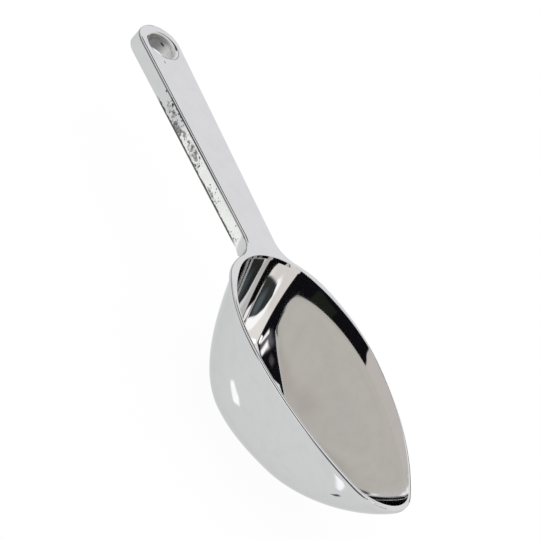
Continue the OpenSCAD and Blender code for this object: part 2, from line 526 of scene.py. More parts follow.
@dataclass
class Bowl:
    """The thin egg-shaped dish with the rounded edge of its opening.

    Args:
        plan: Shared sizes of the scoop.
        inside: Shape of the inner skin.
        outside: Shape of the outer skin.
        deepest_from_back: Distance of the deepest point from the back of the bowl.
        edge_drop: Depth at which the edge of the opening has run into the slope of the dish.
        edge_round: Rounding of the edge of the opening.
        edge_steps: Faces across that rounding.
        rings: Rings between the lip and the deepest point.
        crowding: Power that draws the rings together under the lip.
        upright: Upward share of the normal up to which a face is upright.
        level: Upward share of the normal from which a face is level.
    """

    plan: ScoopPlan
    inside: SkinShape = SkinShape(1.84, 3.48, 3.92, 1.11, 1.07, 0.61)
    outside: SkinShape = SkinShape(1.88, 3.6, 3.45, 1.12, 0.98, 1.0)
    deepest_from_back: float = 0.0372
    edge_drop: float = 0.0009
    edge_round: float = 0.00014
    edge_steps: int = 6
    rings: int = 72
    crowding: float = 1.25
    upright: float = 0.05
    level: float = 0.95

    @property
    def deepest_x(self) -> float:
        """Station of the deepest point."""
        return self.plan.back_x + self.deepest_from_back

    def ring(self, shape: SkinShape, outline: EggOutline, share: float) -> Triple:
        """Where one ring of a skin lies in plan.

        Args:
            shape: Shape of the skin.
            outline: Upper edge of the skin.
            share: Share of the depth at which the ring lies.

        Returns:
            The station of the ring's back, and its length and width as shares of the outline's.
        """
        to_tip, to_back, wide = shape.reach(share)
        front = (outline.front - self.deepest_x) * to_tip
        back = (self.deepest_x - outline.back) * to_back
        long = (front + back) / (outline.front - outline.back)
        return self.deepest_x - back, long, wide

    def skin(self, bench: Bench, shape: SkinShape, outline: EggOutline, levels: Triple, first: float) -> None:
        """Draws one skin of the dish from its upper edge down to the deepest point.

        Args:
            bench: Bench that the dish is made on.
            shape: Shape of the skin.
            outline: Upper edge of the skin.
            levels: Level where the skin starts, level from which its depth is counted and lowest level.
            first: Share of the depth at which the first ring lies.
        """
        start, upper, floor_z = levels
        bench.outline(outline, start)
        old_back, old_long, old_wide, old_z = outline.back, 1.0, 1.0, start
        for number in range(0 if first else 1, self.rings):
            share = first + (1 - first) * math.sin(math.pi / 2 * (number / self.rings) ** self.crowding)
            back, long, wide = self.ring(shape, outline, share)
            z = upper - (upper - floor_z) * share
            scale = (long / old_long, wide / old_wide, 1)
            bench.sweep((back - old_back, 0, z - old_z), scale, (back, 0, z))
            old_back, old_long, old_wide, old_z = back, long, wide, z
        bench.sweep((0, 0, floor_z - old_z), (0, 0, 1), (self.deepest_x, 0, floor_z))
        bpy.ops.mesh.remove_doubles(threshold=WELD)

    def build(self) -> bpy.types.Object:
        """Models the dish with its outer and inner skins and the edge between them.

        Returns:
            The finished dish.
        """
        plan = self.plan
        body = EggOutline(plan, 0, 0, 0, plan.opening_back_radius + plan.bowl_wall, plan.tip_radius)
        first = (self.edge_drop - plan.brim_height) / (plan.brim_z - plan.bowl_wall)
        inner_levels = (plan.top_z, plan.brim_z, plan.bowl_wall)
        bench = Bench("bowl_shell_dish")
        self.skin(bench, self.outside, body, (plan.lip_z, plan.lip_z, 0), 0)
        self.skin(bench, self.inside, opening_outline(plan), inner_levels, first)
        bench.outline(opening_outline(plan, plan.lip_seam), plan.top_z)
        bench.sweep((0, 0, -plan.lip_height))
        for level in (plan.top_z, plan.lip_z):
            bench.pick(Pick.EDGES, lambda e: e.is_boundary and lies_at(Z_AXIS, level)(e))
            bpy.ops.mesh.fill(use_beauty=False)
        bench.close()
        bench.round_edges(self.is_opening_edge, self.edge_round, self.edge_steps)
        return bench.lift()

    def is_opening_edge(self, edge: object) -> bool:
        """Whether an edge lies between the top face and the slope of the dish."""
        slopes = [f for f in edge.link_faces if self.upright < abs(f.normal.z) < self.level]
        return lies_at(Z_AXIS, self.plan.top_z)(edge) and len(slopes) == 1


@dataclass
class LipAndNeck:
    """The lip round the opening and the flat plate that joins it to the handle.

    Args:
        plan: Shared sizes of the scoop.
        fillet_steps: Edges along a neck fillet.
        upright: Upward share of the normal below which a face is upright.
        sideways: Sideways share of the normal above which a face is a side of the neck.
    """

    plan: ScoopPlan
    fillet_steps: int = 20
    upright: float = 0.01
    sideways: float = 0.6

    def build(self) -> bpy.types.Object:
        """Models the plate with its opening: one half is drawn and mirrored.

        Returns:
            The finished plate.
        """
        plan = self.plan
        lip = lip_outline(plan)
        opening = opening_outline(plan, plan.lip_seam)
        bench = Bench("lip_and_neck_plate")
        bench.point(lip.front, 0, plan.top_z)
        for arc in lip.left_arcs(plan.fillet_angle):
            bench.arc(arc)
        bench.arc(Arc(plan.fillet_centre, plan.fillet_turn, self.fillet_steps))
        bench.line(0, -plan.side_y(plan.neck_x))
        bench.line(opening.back - plan.neck_x, 0)
        for arc in reversed(opening.left_arcs()):
            bench.arc(Arc(arc.centre, -arc.turn, arc.steps))
        bench.line(lip.front - opening.front, 0)
        bench.close()
        bpy.ops.mesh.edge_face_add()
        bench.modify("MIRROR", use_axis=(False, True, False), merge_threshold=SLACK)
        bench.pick(Pick.FACES, lambda f: True)
        bench.push(-plan.lip_height)
        bench.close()
        bench.round_edges(self.is_outer_edge, plan.edge_round, plan.edge_steps)
        return bench.lift_flat()

    def is_outer_edge(self, edge: object) -> bool:
        """Whether an edge of the top face belongs to the outer perimeter, and not to the neck's end.

        Args:
            edge: The edge.

        Returns:
            Whether it does.
        """
        plan = self.plan
        upright = [f.normal for f in edge.link_faces if abs(f.normal.z) < self.upright]
        on_top = lies_at(Z_AXIS, plan.top_z)(edge) and not lies_at(X_AXIS, plan.neck_x)(edge)
        if not on_top or len(upright) != 1:
            return False
        middle = (edge.verts[0].co + edge.verts[1].co) / 2
        outwards = upright[0].dot(middle - Vector((plan.belly_x, 0, middle.z))) > 0
        return outwards or (middle.x < plan.run_out_x and abs(upright[0].y) > self.sideways)


@dataclass
class Handle:
    """The tapered channel handle: its top plate and its two side walls.

    Args:
        plan: Shared sizes of the scoop.
        eye_end_x: Station where the handle meets the hanging eye.
        past: Length that a piece has to spare before its ends are cut.
        run_out_length: Length over which the lower edge of a neck wall rises to the bowl.
        run_out_gap: Distance from the end of that rise to the end of the neck fillet.
        fillet_steps: Edges along a neck fillet.
        lower_round: Radius of the rounding at the lower edges.
        lower_steps: Faces across that rounding.
    """

    plan: ScoopPlan
    eye_end_x: float = -0.0678
    past: float = 0.0005
    run_out_length: float = 0.004
    run_out_gap: float = 0.00005
    fillet_steps: int = 20
    lower_round: float = 0.0003
    lower_steps: int = 4

    def droop(self, bench: Bench) -> None:
        """Turns a whole piece down about the line where the handle leaves the neck."""
        pivot = (self.plan.neck_x, 0, self.plan.top_z)
        bench.everything()
        bpy.ops.transform.rotate(value=self.plan.handle_droop, orient_axis="Y", center_override=pivot)

    def build_deck(self) -> bpy.types.Object:
        """Models the top plate.

        Returns:
            The finished plate.
        """
        plan = self.plan
        start = self.eye_end_x - self.past
        end = plan.neck_x + self.past
        narrower = plan.side_y(end) / plan.side_y(start)
        bench = Bench("handle_deck_plate")
        bench.point(start, -plan.side_y(start), plan.top_z)
        bench.line(0, 2 * plan.side_y(start))
        bench.everything()
        bench.sweep((end - start, 0, 0), (1, narrower, 1), (end, 0, plan.top_z))
        bench.everything()
        bench.push(-plan.lip_height)
        bench.close()
        bench.round_edges(self.is_long_top_edge, plan.edge_round, plan.edge_steps)
        self.droop(bench)
        bench.cut((self.eye_end_x, 0, 0), X_AXIS, True)
        bench.cut((plan.neck_x, 0, 0), X_AXIS, False)
        bench.close()
        return bench.lift_flat()

    def is_long_top_edge(self, edge: object) -> bool:
        """Whether an edge runs along the handle at the top."""
        run = edge.verts[1].co - edge.verts[0].co
        return lies_at(Z_AXIS, self.plan.top_z)(edge) and abs(run.x) > abs(run.y)

    def build_wall(self, side: int) -> bpy.types.Object:
        """Models a side wall, from the eye along the handle and round the neck fillet to the bowl.

        Args:
            side: 1 for the left wall, -1 for the right one.

        Returns:
            The finished wall.
        """
        plan = self.plan
        centre = plan.fillet_centre
        centre.y *= side
        turn = -side * plan.fillet_turn
        radial = Vector((-math.cos(plan.fillet_angle), -side * math.sin(plan.fillet_angle), 0))
        end_y = plan.side_y(self.eye_end_x)
        inner_y = plan.side_y(self.eye_end_x, plan.side_wall)
        neck_inner_x = centre.x - (plan.neck_fillet + plan.side_wall) * math.sin(plan.taper)
        neck_inner_y = plan.side_y(neck_inner_x, plan.side_wall)
        bench = Bench("left_wall" if side > 0 else "right_wall")
        bench.point(self.eye_end_x, side * end_y, plan.lip_z)
        bench.line(plan.neck_x - self.eye_end_x, side * (plan.side_y(plan.neck_x) - end_y))
        bench.arc(Arc(centre, turn, self.fillet_steps))
        bench.line(*(plan.side_wall * radial))
        bench.arc(Arc(centre, -turn, self.fillet_steps))
        bench.line(self.eye_end_x - neck_inner_x, side * (inner_y - neck_inner_y))
        bench.slab(plan.wall_z - plan.lip_z)
        bench.pick(Pick.VERTS, lambda v: v.co.x < self.eye_end_x + self.past)
        drop = (plan.neck_x - self.eye_end_x) * math.tan(plan.handle_droop)
        bpy.ops.transform.translate(value=(0, 0, -drop))
        run_out = Vector((plan.lip_z - plan.wall_z, 0, -self.run_out_length)).normalized()
        bench.cut((plan.run_out_x - self.run_out_gap, 0, plan.lip_z), run_out, False)
        bench.close()
        bench.round_edges(self.is_lower_edge, self.lower_round, self.lower_steps)
        return bench.lift_flat()

    def is_lower_edge(self, edge: object) -> bool:
        """Whether an edge lies along the underside of a wall, between it and a side face.

        Args:
            edge: The edge.

        Returns:
            Whether it does.
        """
        least_down, most_up, most_along = 0.5, 0.1, 0.8
        normals = [f.normal for f in edge.link_faces]
        under = [n for n in normals if -n.z > least_down]
        sides = [n for n in normals if abs(n.z) < most_up and abs(n.x) < most_along]
        return len(normals) == 2 and len(under) == 1 and len(sides) == 1


@dataclass
class HangingEye:
    """The round end of the handle with the hanging hole.

    Args:
        plan: Shared sizes of the scoop.
        handle: The handle that it ends.
        bore_from_end: Distance of the hole's centre from the end of the handle.
        bore: Diameter of the hole.
        flare: Radius of the rounded upper mouth.
        chamfer: Chamfer at the lower mouth.
        wall: Wall between the hole and the hollow of the handle.
        round_steps: Edges round the end of the handle.
        hole_steps: Edges round the hole.
        flare_steps: Edges across the rounded mouth.
    """

    plan: ScoopPlan
    handle: Handle
    bore_from_end: float = 0.0074
    bore: float = 0.0074
    flare: float = 0.0014
    chamfer: float = 0.0005
    wall: float = 0.0018
    round_steps: int = 48
    hole_steps: int = 128
    flare_steps: int = 12

    @property
    def bore_x(self) -> float:
        """Station of the hole's centre."""
        return self.bore_from_end - self.plan.overall_length / 2

    def build(self) -> bpy.types.Object:
        """Models the eye.

        Returns:
            The finished eye.
        """
        plan = self.plan
        handle = self.handle
        cutters = [self.build_hollow(), self.build_hole()]
        end = handle.eye_end_x + handle.past
        touch_x = plan.eye_x + plan.eye_r * math.sin(plan.taper)
        wider = plan.side_y(touch_x) - plan.side_y(end)
        bench = Bench("hang_eye_end")
        bench.point(end, plan.side_y(end), plan.top_z)
        bench.line(touch_x - end, wider)
        bench.arc(Arc(Vector((plan.eye_x, 0, 0)), math.pi + 2 * plan.taper, self.round_steps))
        bench.line(end - touch_x, wider)
        bench.slab(-plan.handle_depth)
        bench.round_edges(self.is_rim(plan.top_z), plan.edge_round, plan.edge_steps)
        bench.round_edges(self.is_rim(plan.wall_z), handle.lower_round, handle.lower_steps)
        for cutter in cutters:
            bench.modify("BOOLEAN", operation="DIFFERENCE", solver="EXACT", object=cutter)
        handle.droop(bench)
        bench.cut((handle.eye_end_x, 0, 0), X_AXIS, False)
        bench.close()
        eye = bench.lift_flat()
        for cutter in cutters:
            bpy.data.objects.remove(cutter)
        return eye

    def is_rim(self, z: float) -> Test:
        """A test for edges on the perimeter at a level, and not on the end towards the bowl."""
        seam = lies_at(X_AXIS, self.handle.eye_end_x + self.handle.past)
        return lambda edge: lies_at(Z_AXIS, z)(edge) and not seam(edge)

    def build_hole(self) -> bpy.types.Object:
        """Models the cutter for the hole: a bore with a rounded upper mouth and a chamfered lower one.

        Returns:
            The cutter.
        """
        plan = self.plan
        spare = self.handle.past
        radius = self.bore / 2
        flare_centre = (self.bore_x + radius + self.flare, 0, plan.top_z - self.flare)
        bench = Bench("hole_cutter")
        bench.point(self.bore_x, 0, plan.wall_z - spare)
        bench.line(radius + self.chamfer + spare, 0)
        bench.line(-self.chamfer - spare, 0, self.chamfer + spare)
        bench.line(0, 0, plan.handle_depth - self.chamfer - self.flare)
        bpy.ops.mesh.spin(
            steps=self.flare_steps, angle=math.radians(-90), center=flare_centre, axis=Y_AXIS
        )
        bench.line(0, 0, spare)
        bench.line(-radius - self.flare, 0)
        bench.everything()
        bench.arc(Arc(Vector((self.bore_x, 0, 0)), -2 * math.pi, self.hole_steps))
        bench.close()
        return bench.lift()

    def build_hollow(self) -> bpy.types.Object:
        """Models the cutter for the hollow of the handle behind the hole.

        Returns:
            The cutter.
        """
        plan = self.plan
        spare = self.handle.past
        end = self.handle.eye_end_x + 2 * spare
        end_y = plan.side_y(end, plan.side_wall)
        reach = self.bore / 2 + self.wall
        angle = math.asin(min(plan.side_y(self.bore_x, plan.side_wall) / reach, 1))
        corner_x = self.bore_x + reach * math.cos(angle)
        corner_y = reach * math.sin(angle)
        bench = Bench("hollow_cutter")
        bench.point(end, -end_y, plan.wall_z - spare)
        bench.line(0, 2 * end_y)
        bench.line(corner_x - end, corner_y - end_y)
        bench.arc(Arc(Vector((self.bore_x, 0, 0)), -2 * angle, self.round_steps))
        bench.slab(plan.lip_z - plan.wall_z + spare)
        return bench.lift()


Colour = Triple
Limits = tuple[float, float]
Value = Union["Wire", float]


class Grain(Enum):
    """Fields of noise on the film: features in a metre, finer layers and the weight of these."""

    WAVY = (45.0, 1.0, 0.5)
    STREAKY = (90.0, 3.0, 0.6)
    MOTTLED = (260.0, 4.0, 0.6)
    BROAD = (800.0, 3.0, 0.6)
    RAGGED = (900.0, 3.0, 0.6)
    FINE = (2400.0, 3.0, 0.7)
    CRUMBLED = (3600.0, 2.0, 0.5)


class Wire:
    """A socket of a node tree that can be calculated with."""

    def __init__(self, graph: "Graph", socket: bpy.types.NodeSocket) -> None:
        """Wraps an output of one of a graph's nodes."""
        self.graph = graph
        self.socket = socket

    def __add__(self, other: Value) -> "Wire":
        """This value plus another."""
        return self.graph.maths("ADD", self, other)

    def __radd__(self, other: Value) -> "Wire":
        """Another value plus this one."""
        return self.graph.maths("ADD", other, self)

    def __sub__(self, other: Value) -> "Wire":
        """This value minus another."""
        return self.graph.maths("SUBTRACT", self, other)

    def __rsub__(self, other: Value) -> "Wire":
        """Another value minus this one."""
        return self.graph.maths("SUBTRACT", other, self)

    def __mul__(self, other: Value) -> "Wire":
        """This value times another."""
        return self.graph.maths("MULTIPLY", self, other)

    def __truediv__(self, other: Value) -> "Wire":
        """This value divided by another."""
        return self.graph.maths("DIVIDE", self, other)


class Graph:
    """The nodes of one material or world."""

    def __init__(self, tree: bpy.types.NodeTree) -> None:
        """Starts from an empty tree."""
        self.tree = tree
        tree.nodes.clear()

    def node(self, kind: str, settings: Optional[dict] = None, **values: object) -> bpy.types.Node:
        """Adds a node.

        Args:
            kind: Type of the node.
            settings: Its properties, which are set first.
            values: Numbers, colours, vectors or wires for its sockets, by name or, as in s0, by number.

        Returns:
            The node.
        """
        node = self.tree.nodes.new(kind)
        for key, value in (settings or {}).items():
            setattr(node, key, value)
        for key, value in values.items():
            socket = node.inputs[int(key[1:]) if key[1:].isdigit() else key.replace("_", " ")]
            if isinstance(value, Wire):
                self.tree.links.new(value.socket, socket)
            else:
                socket.default_value = value
        return node

    def out(self, node: bpy.types.Node, name: Union[str, int] = 0) -> Wire:
        """One output of a node as a wire."""
        return Wire(self, node.outputs[name])

    def maths(self, operation: str, *values: Value) -> Wire:
        """A calculation on numbers and wires, by Blender's name for it."""
        sockets = {f"s{number}": value for number, value in enumerate(values)}
        return self.out(self.node("ShaderNodeMath", {"operation": operation}, **sockets))

    def dot(self, vector: Wire, direction: Vector) -> Wire:
        """The share of a vector along a direction."""
        settings = {"operation": "DOT_PRODUCT"}
        return self.out(self.node("ShaderNodeVectorMath", settings, s0=vector, s1=direction), 1)

    def smooth(self, value: Value, low: float, high: float) -> Wire:
        """A soft step from 0 at one limit to 1 at the other."""
        settings = {"interpolation_type": "SMOOTHSTEP"}
        return self.out(self.node("ShaderNodeMapRange", settings, Value=value, From_Min=low, From_Max=high))

    def band(self, value: Wire, rise: Limits, fall: Limits) -> Wire:
        """A soft step up and a soft step down, each from where it is 0 to where it is 1."""
        return self.smooth(value, *rise) * self.smooth(value, *fall)

    def most(self, *masks: Wire) -> Wire:
        """The largest of some masks at each point."""
        return reduce(lambda first, second: self.maths("MAXIMUM", first, second), masks)

    def mix(self, factor: Value, first: Union[Wire, Colour], second: Union[Wire, Colour]) -> Wire:
        """A blend of two colours.

        Args:
            factor: Share of the second colour.
            first: The first colour.
            second: The second colour.

        Returns:
            The blend.
        """
        colours = [c if isinstance(c, Wire) else (*c, 1.0) for c in (first, second)]
        node = self.node("ShaderNodeMix", {"data_type": "RGBA"}, s0=factor, s6=colours[0], s7=colours[1])
        return self.out(node, 2)

    def blend(self, factor: Value, first: bpy.types.Node, second: bpy.types.Node) -> Wire:
        """A blend of two shaders, by the share of the second one."""
        return self.out(self.node("ShaderNodeMixShader", s0=factor, s1=self.out(first), s2=self.out(second)))

    def noise(self, where: Wire, grain: Grain) -> Wire:
        """A field of soft random values around one half."""
        values = dict(zip(("Scale", "Detail", "Roughness"), grain.value))
        return self.out(self.node("ShaderNodeTexNoise", Vector=where, **values))


@dataclass(frozen=True)
class WearAndShadePatch:
    """An oval patch of wear on the handle, also used for the painted dark reflection in the hanging hole.

    Args:
        x: Station of its middle.
        below: Distance of its middle below the top of the handle.
        long: Half its length.
        high: Half its height.
        strength: Strength of the patch in its middle, where the film is worn through or painted dark.
    """

    x: float
    below: float
    long: float
    high: float
    strength: float

    def mask(self, graph: Graph, x: Wire, below: Wire, crisp: float = 0.0) -> Wire:
        """The patch as a mask.

        Args:
            graph: Graph of the material.
            x: Station of the point that is shaded.
            below: Its distance below the top of the handle.
            crisp: Share of the patch over which it has its full strength.

        Returns:
            The mask, from its strength in the middle to 0 at the border.
        """
        along = (x - self.x) * (1 / self.long)
        across = (below - self.below) * (1 / self.high)
        return graph.smooth(along * along + across * across, 1.0, crisp) * self.strength


@dataclass(frozen=True)
class SilverFilm:
    """The vacuum-metallised silver film under a clear lacquer, worn through on the sides of the handle.

    Limits are pairs of places or depths: where a soft step is 0 and where it is 1. The dark lines along the
    handle's edges and the lip near the tip, and the shade and slit in the hanging hole, are painted shade and
    dark reflections.

    Args:
        eye: The round end with the hanging hole.
        silver: Colour of the film.
        mottled: Colour of its faint mottling.
        mottling: Strength of the mottling.
        brightened: Brighter colour of the film on one stretch of the handle's side.
        hole_dull_shade_colour: Colour of the film inside the hole, where it is made matte as painted shade.
        hole_shade_and_line: Colour of the painted shade at the back of the hole and of the painted dark
            reflection line at its mouth.
        bare_and_painted_dark: Colour where the film is worn through, also used for the painted dark lines and
            the painted slit.
        roughness: Roughness of the film.
        edge_tint: Share of the mirrored light that is left at grazing angles.
        side_depth: Limits of the handle's side below its top edge.
        neck_fade: Length over which the wear of the side fades out at the neck.
        eye_clear: Limits of the side at the round end, in hole diameters from the hole's centre.
        speck_cells: Places for a speck in a metre.
        stretch_start: Limits of the brighter, rougher stretch at its end towards the hole.
        stretch_end: Limits of the brighter, rougher stretch at its end towards the bowl.
        line_top: Limits of the painted dark reflection lines on the upper edges and the lip, from above.
        lip_run: Limits of the painted dark reflection line on the lip, from behind.
        lip_end: Limits of the painted dark reflection line on the lip, from the tip.
        nick_mark: The nick beside the hole, seen from above.
        slit_mark: The painted dark reflection on the wall of the hole.
        slit_offset: Distance of that mark behind the hole's centre and to its left.
        scuffs: Patches with fine specks on both sides of the handle.
        marks: Single marks on the right side of the handle.
        smears: Patches on the right side of the handle where the film is rubbed thin.
    """

    eye: HangingEye
    silver: Colour = (0.66, 0.66, 0.665)
    mottled: Colour = (0.5, 0.5, 0.53)
    mottling: float = 0.14
    brightened: Colour = (0.99, 0.99, 0.975)
    hole_dull_shade_colour: Colour = (0.66, 0.66, 0.65)
    hole_shade_and_line: Colour = (0.2, 0.2, 0.2)
    bare_and_painted_dark: Colour = (0.03, 0.029, 0.027)
    roughness: float = 0.03
    edge_tint: Colour = (0.82, 0.82, 0.82)
    side_depth: Limits = (0.0003, 0.0006)
    neck_fade: float = 0.004
    eye_clear: Limits = (0.8, 0.9)
    speck_cells: float = 1500.0
    stretch_start: Limits = (-0.0475, -0.0445)
    stretch_end: Limits = (-0.0094, -0.0104)
    line_top: Limits = (0.0002, 0.0003)
    lip_run: Limits = (0.055, 0.07)
    lip_end: Limits = (0.0802, 0.0792)
    nick_mark: WearAndShadePatch = WearAndShadePatch(-0.0688, -0.0024, 0.00045, 0.00022, 0.8)
    slit_mark: WearAndShadePatch = WearAndShadePatch(0.0, 0.0019, 0.0008, 0.00034, 1.0)
    slit_offset: float = 0.0026
    scuffs: tuple[WearAndShadePatch, ...] = (
        WearAndShadePatch(-0.0520, 0.0012, 0.0065, 0.0014, 1.3),
        WearAndShadePatch(-0.0400, 0.0021, 0.0075, 0.0022, 1.2),
        WearAndShadePatch(-0.0350, 0.0030, 0.0024, 0.0018, 1.0),
        WearAndShadePatch(-0.0245, 0.0026, 0.0050, 0.0020, 0.8),
        WearAndShadePatch(-0.0112, 0.0030, 0.0034, 0.0020, 0.6),
    )
    marks: tuple[WearAndShadePatch, ...] = (
        WearAndShadePatch(-0.0587, 0.0009, 0.00035, 0.00030, 0.9),
        WearAndShadePatch(-0.0542, 0.0011, 0.00055, 0.00035, 1.0),
        WearAndShadePatch(-0.0496, 0.0006, 0.00060, 0.00035, 0.9),
        WearAndShadePatch(-0.0424, 0.0022, 0.00040, 0.00030, 0.9),
        WearAndShadePatch(-0.0404, 0.0017, 0.00060, 0.00028, 0.9),
        WearAndShadePatch(-0.0385, 0.0017, 0.00030, 0.00025, 0.9),
        WearAndShadePatch(-0.0362, 0.0013, 0.00055, 0.00028, 0.9),
        WearAndShadePatch(-0.0356, 0.0036, 0.00055, 0.00028, 0.9),
        WearAndShadePatch(-0.0345, 0.0027, 0.00030, 0.00055, 0.9),
        WearAndShadePatch(-0.0278, 0.0023, 0.00030, 0.00024, 0.8),
        WearAndShadePatch(-0.0253, 0.0012, 0.00028, 0.00022, 0.8),
        WearAndShadePatch(-0.0248, 0.0034, 0.00050, 0.00024, 0.9),
        WearAndShadePatch(-0.0222, 0.0025, 0.00028, 0.00022, 0.8),
        WearAndShadePatch(-0.0127, 0.0011, 0.00028, 0.00022, 0.8),
        WearAndShadePatch(-0.0119, 0.0041, 0.00060, 0.00022, 0.8),
        WearAndShadePatch(-0.0097, 0.0031, 0.00028, 0.00024, 0.8),
    )
    smears: tuple[WearAndShadePatch, ...] = (
        WearAndShadePatch(-0.0535, 0.0024, 0.0040, 0.0016, 0.5),
        WearAndShadePatch(-0.0478, 0.0032, 0.0042, 0.0013, 1.0),
        WearAndShadePatch(-0.0452, 0.0022, 0.0022, 0.0012, 0.8),
        WearAndShadePatch(-0.0390, 0.0024, 0.0050, 0.0018, 0.6),
        WearAndShadePatch(-0.0350, 0.0035, 0.0018, 0.0010, 0.8),
        WearAndShadePatch(-0.0250, 0.0036, 0.0040, 0.0010, 0.45),
    )

    def make(self) -> bpy.types.Material:
        """Makes the material.

        Returns:
            The material.
        """
        material = bpy.data.materials.new("silver_film")
        material.use_nodes = True
        graph = FilmGraph(material.node_tree, self)
        worn_and_painted_dark = graph.worn_and_painted_dark()
        bright_stretch = graph.bright_stretch()
        # painted shade inside the hanging hole
        hole_dull_shade, hole_shade_and_line = graph.hole()
        mottle = graph.smooth(graph.noise(graph.place, Grain.MOTTLED), 0.4, 0.7) * self.mottling
        streaks = graph.noise(graph.place, Grain.STREAKY)
        wave = graph.noise(graph.place, Grain.WAVY)
        colour = graph.mix(bright_stretch, self.silver, self.brightened)
        # The last two layers hold painted shade and dark reflections, the last one together with worn-through
        # film.
        layers = ((mottle, self.mottled), (hole_dull_shade, self.hole_dull_shade_colour), (hole_shade_and_line, self.hole_shade_and_line), (worn_and_painted_dark, self.bare_and_painted_dark))
        for share, layer in layers:
            colour = graph.mix(share, colour, layer)
        shader = graph.node(
            "ShaderNodeBsdfPrincipled",
            Base_Color=colour,
            Metallic=1.0 - worn_and_painted_dark * 0.6 - hole_dull_shade * 0.7,
            Roughness=self.roughness + streaks * 0.02 + bright_stretch * 0.12 + worn_and_painted_dark * 0.35 + hole_dull_shade * 0.25,
            Specular_Tint=(*self.edge_tint, 1),
            Normal=graph.out(graph.node("ShaderNodeBump", Strength=0.05, Distance=0.001, Height=wave)),
        )
        graph.node("ShaderNodeOutputMaterial", Surface=graph.out(shader))
        return material


class FilmGraph(Graph):
    """The nodes of the silver film: measures of the point that is shaded, the wear there, and painted shade
    and dark reflections.
    """

    def __init__(self, tree: bpy.types.NodeTree, film: SilverFilm, blur: float = 0.001) -> None:
        """Measures the point.

        Args:
            tree: Node tree of the material.
            film: Colours and wear of the film.
            blur: Distance from the middle plane over which the right side fades into the left one.
        """
        super().__init__(tree)
        self.film = film
        self.eye = film.eye
        self.plan = film.eye.plan
        plan = self.plan
        self.place = self.out(self.node("ShaderNodeTexCoord"), "Object")
        self.x = self.dot(self.place, X_AXIS)
        self.y = self.dot(self.place, Y_AXIS)
        back = self.maths("MAXIMUM", plan.neck_x - self.x, 0.0)
        self.below = plan.top_z - back * math.tan(plan.handle_droop) - self.dot(self.place, Z_AXIS)
        self.right = self.smooth(self.y, blur, -blur)
        self.ragged = self.noise(self.place, Grain.RAGGED) - 0.5
        clear = [self.eye.bore_x + self.eye.bore * share for share in film.eye_clear]
        along = self.band(self.x, clear, (plan.neck_x + film.neck_fade, plan.neck_x))
        self.side = along * self.smooth(self.below, *film.side_depth)

    def apart(self, x: float, y: float = 0.0) -> Wire:
        """Distance in plan from an upright axis."""
        squares = [offset * offset for offset in (self.x - x, self.y - y)]
        return self.maths("SQRT", squares[0] + squares[1])

    def frayed(self, measure: Wire, fringe: float) -> Wire:
        """A measure that wavers, so that a border at a value of it is ragged."""
        return measure + self.ragged * fringe

    def mostly_right(self, left: float) -> Wire:
        """1 on the right side of the scoop and a smaller share on the left side."""
        return self.right * (1 - left) + left

    def worn_and_painted_dark(self) -> Wire:
        """The share of the film that is worn through, with the painted shade and dark reflections added in,
        which is what the masks of wear and of painted shade below give too.

        Returns:
            The mask.
        """
        return self.most(
            self.specks() * self.side * self.mostly_right(0.5),
            self.marked() * self.side * self.right,
            self.smeared() * self.side * self.right,
            # painted shade and dark reflections along the handle's edges
            self.painted_edge_lines() * self.mostly_right(0.4),
            # painted dark reflection in the hanging hole
            self.slit(),
            self.nick(),
            self.end_wear(),
            # painted dark reflection along the lip near the tip
            self.painted_rim_line() * self.right,
        )

    def specks(self) -> Wire:
        """Fine specks where the film is worn through.

        Returns:
            The mask.
        """
        smallest, spread, crumbling = 0.1, 0.24, 0.3
        density = self.most(*(scuff.mask(self, self.x, self.below) for scuff in self.film.scuffs))
        cells = self.node("ShaderNodeTexVoronoi", Vector=self.place, Scale=self.film.speck_cells)
        draw = self.out(cells, "Color")
        size = self.dot(draw, spread * Y_AXIS) + smallest
        apart = self.out(cells, "Distance") + (self.noise(self.place, Grain.CRUMBLED) - 0.5) * crumbling
        chosen = self.smooth(self.dot(draw, X_AXIS) - density, 0.04, -0.04)
        return self.smooth(apart - size, 0.08, -0.02) * chosen * 0.9

    def marked(self) -> Wire:
        """Single marks with ragged borders where the film is worn through."""
        place = (self.frayed(self.x, 0.0006), self.frayed(self.below, 0.0005))
        return self.most(*(mark.mask(self, *place, crisp=0.7) for mark in self.film.marks))

    def smeared(self) -> Wire:
        """Patches where the film is rubbed thin.

        Returns:
            The mask.
        """
        patch = self.most(*(smear.mask(self, self.x, self.below) for smear in self.film.smears))
        broad = self.smooth(self.noise(self.place, Grain.BROAD) + patch * 0.22, 0.52, 0.7)
        fine = self.smooth(self.noise(self.place, Grain.FINE), 0.3, 0.6) * 0.6 + 0.4
        return broad * fine * self.smooth(patch, 0.0, 0.35) * 0.85

    def bright_stretch(self) -> Wire:
        """The stretch of the handle's side where the film is brighter and rougher, with a slanted end at the
        bowl.

        Returns:
            The mask, which takes no film away.
        """
        slant = 0.55
        start = self.smooth(self.frayed(self.x, 0.006), *self.film.stretch_start)
        end = self.smooth(self.frayed(self.x - self.below * slant, 0.002), *self.film.stretch_end)
        patchy = self.smooth(self.ragged, -0.3, 0.1) * 0.2 + 0.8
        return start * end * patchy * self.side * self.mostly_right(0.4)

    def painted_edge_lines(self) -> Wire:
        """Painted shade along the lower edge of the handle's side and a painted dark reflection along its
        upper edge.

        Returns:
            The mask.
        """
        depth, neck_x, blur = self.plan.handle_depth, self.plan.neck_x, 0.002
        low_start, low_end = (-0.0600, -0.0580), (-0.0075, -0.0120)
        darker_start, darker_end = (-0.0600, -0.0540), (-0.016, -0.030)
        # painted shade along the lower edge of the handle's side
        low = self.smooth(self.frayed(self.below, 0.0011), depth - 0.00084, depth - 0.00066)
        low *= self.smooth(self.frayed(self.x, 0.004), *low_start) * self.smooth(self.x, *low_end)
